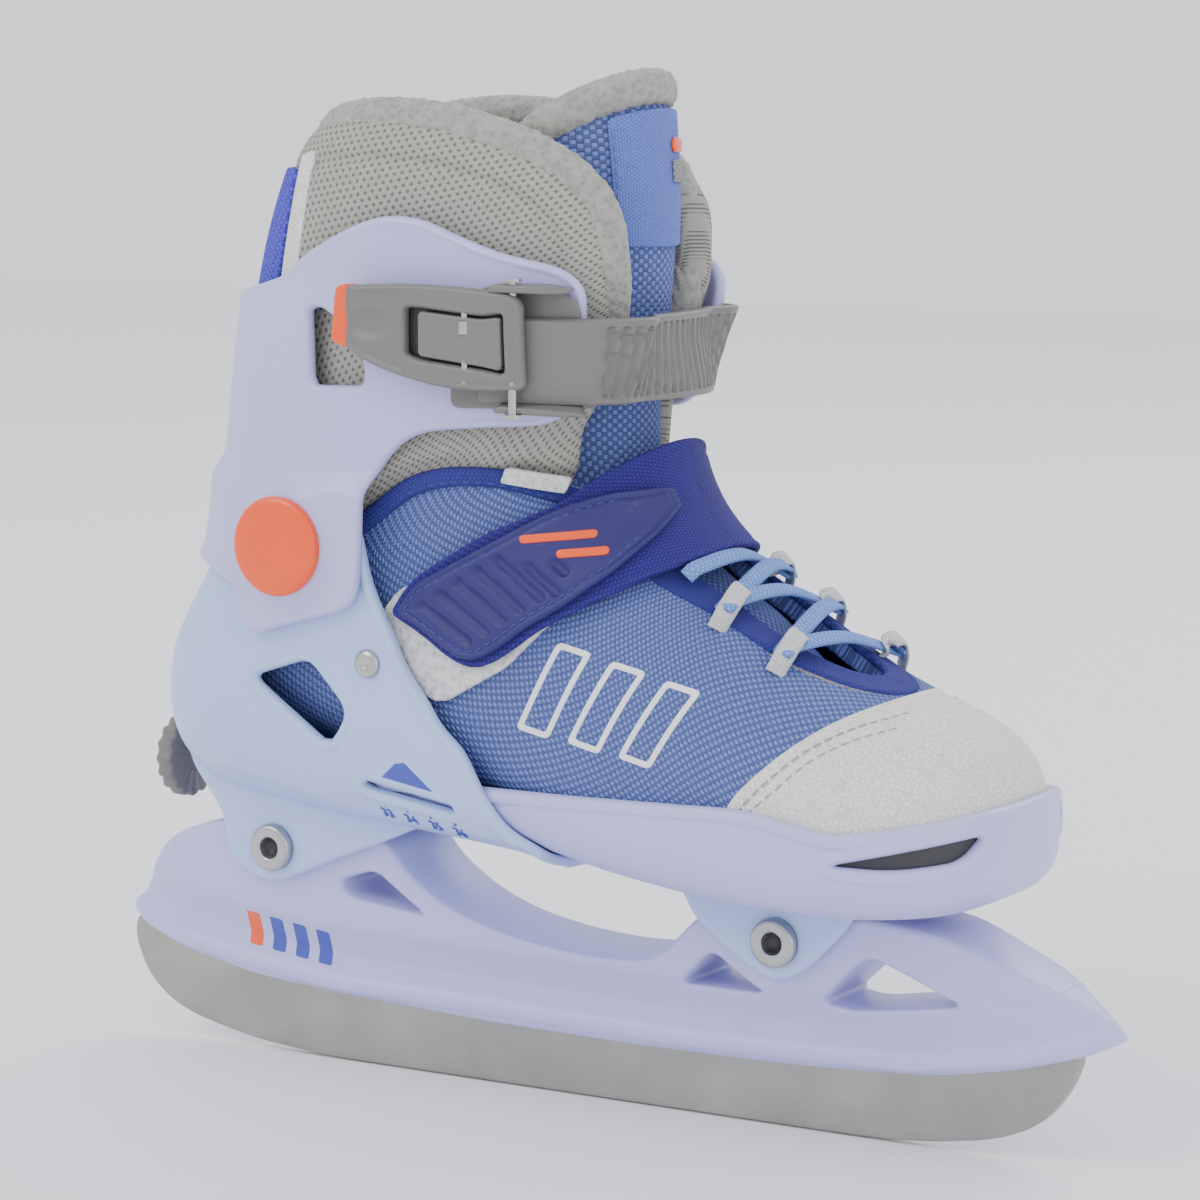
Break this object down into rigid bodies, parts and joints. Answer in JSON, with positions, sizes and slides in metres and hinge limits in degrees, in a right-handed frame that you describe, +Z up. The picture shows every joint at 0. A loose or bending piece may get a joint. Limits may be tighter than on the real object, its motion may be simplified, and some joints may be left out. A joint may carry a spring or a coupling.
{
  "type": "ice skate",
  "caption": "Child's size-adjustable ice skate with a blade holder, sliding shell halves, hinged cuff, padded boot, ratchet buckle and instep strap.",
  "frame": {"origin": "on the running edge of the blade, on the centre plane, below the middle of the skate", "axes": "+X towards the toe, +Z up, -Y towards the outer side that carries the buckle"},
  "size_m": [0.284, 0.0972, 0.2511],
  "materials": {
    "blade_steel": "satin ground steel",
    "hardware_steel": "plated steel",
    "brass": "machined brass",
    "lavender_plastic": "fine satin moulded plastic",
    "ice_plastic": "fine satin moulded plastic",
    "grey_plastic": "satin glass-filled plastic",
    "dark_plastic": "matte dark plastic",
    "blue_plastic": "matte plastic",
    "orange_plastic": "semi-gloss plastic",
    "woven_mesh": "woven polyester mesh",
    "padded_mesh": "open spacer mesh over foam",
    "plush": "brushed plush",
    "insole_felt": "felt over foam",
    "tab_webbing": "ribbed webbing",
    "piping": "stitched binding tape",
    "cap_leather": "grained synthetic leather",
    "label_fabric": "stitched woven label",
    "lace_cord": "braided cord",
    "strap_webbing": "woven strap",
    "strap_rubber": "moulded matte rubber",
    "loop_fabric": "looped pile"
  },
  "bodies": {
    "base": {"blade": "blade_steel", "blade_holder": "lavender_plastic", "rear_bolt": "hardware_steel", "rear_nut": "hardware_steel", "front_bolt": "hardware_steel", "front_nut": "hardware_steel", "base_shell": "ice_plastic", "shell_rivet_outer": "hardware_steel", "shell_rivet_inner": "hardware_steel", "vamp": "woven_mesh", "heel_liner": "padded_mesh", "insole": "insole_felt", "ankle_piping_outer": "piping", "ankle_piping_inner": "piping", "eyestay": "piping", "lace": "lace_cord", "lace_loop_1": "cap_leather", "lace_loop_2": "cap_leather", "lace_loop_3": "cap_leather", "lace_loop_4": "cap_leather", "lace_loop_5": "cap_leather", "instep_strap": "strap_webbing", "strap_anchor": "strap_webbing", "strap_loop_pad": "loop_fabric", "tongue": "woven_mesh", "tongue_label": "label_fabric", "tongue_roll": "plush", "cuff_rivet_outer": "hardware_steel", "cuff_rivet_inner": "hardware_steel"},
    "toe_half": {"toe_shell": "lavender_plastic", "toe_cap": "cap_leather", "size_nut": "brass", "size_pointer": "blue_plastic"},
    "size_dial": {"size_screw": "hardware_steel", "size_knob": "grey_plastic", "size_knob_cap": "dark_plastic"},
    "cuff": {"cuff": "lavender_plastic", "cuff_cap_outer": "orange_plastic", "cuff_cap_inner": "orange_plastic", "ankle_collar": "padded_mesh", "collar_roll": "plush", "heel_tab": "tab_webbing", "heel_trim_outer": "cap_leather", "heel_trim_inner": "cap_leather", "buckle_frame": "grey_plastic", "buckle_rivet": "hardware_steel", "buckle_pin": "hardware_steel", "ladder_strap": "grey_plastic", "strap_rivet": "hardware_steel"},
    "lever": {"buckle_lever": "grey_plastic", "lever_tip": "orange_plastic", "pawl_pin": "hardware_steel"},
    "pawl": {"release_pawl": "grey_plastic", "pawl_spring": "hardware_steel"},
    "strap_flap": {"strap_flap": "strap_webbing", "strap_panel": "strap_rubber"}
  },
  "joints": [
    {"name": "cuff_flex", "type": "hinge", "parent": "base", "child": "cuff", "pos_m": [-0.064, 0, 0.138], "axis": [0, 1, 0], "range_deg": [0, 5]},
    {"name": "size_slide", "type": "slide", "parent": "base", "child": "toe_half", "axis": [1, 0, 0], "range_m": [0, 0.02]},
    {"name": "size_turn", "type": "hinge", "parent": "base", "child": "size_dial", "pos_m": [-0.12, 0, 0.075], "axis": [1, 0, 0], "range_deg": [0, 1801]},
    {"name": "lever_lift", "type": "hinge", "parent": "cuff", "child": "lever", "pos_m": [0.004, -0.0461, 0.19], "axis": [0, 0, 1], "range_deg": [0, 95]},
    {"name": "pawl_release", "type": "hinge", "parent": "lever", "child": "pawl", "pos_m": [-0.008, -0.0481, 0.187], "axis": [0, 0, 1], "range_deg": [0, 12], "stiffness_Nm_per_rad": 0.02, "springref_deg": -11.46},
    {"name": "strap_peel", "type": "hinge", "parent": "base", "child": "strap_flap", "pos_m": [0.0325, -0.01, 0.152], "axis": [-0.489, 0, 0.8723], "range_deg": [0, 75]}
  ],
  "couplings": [
    {"joint": "size_turn", "follows": "size_slide", "rad_per_m": 1570.8}
  ]
}
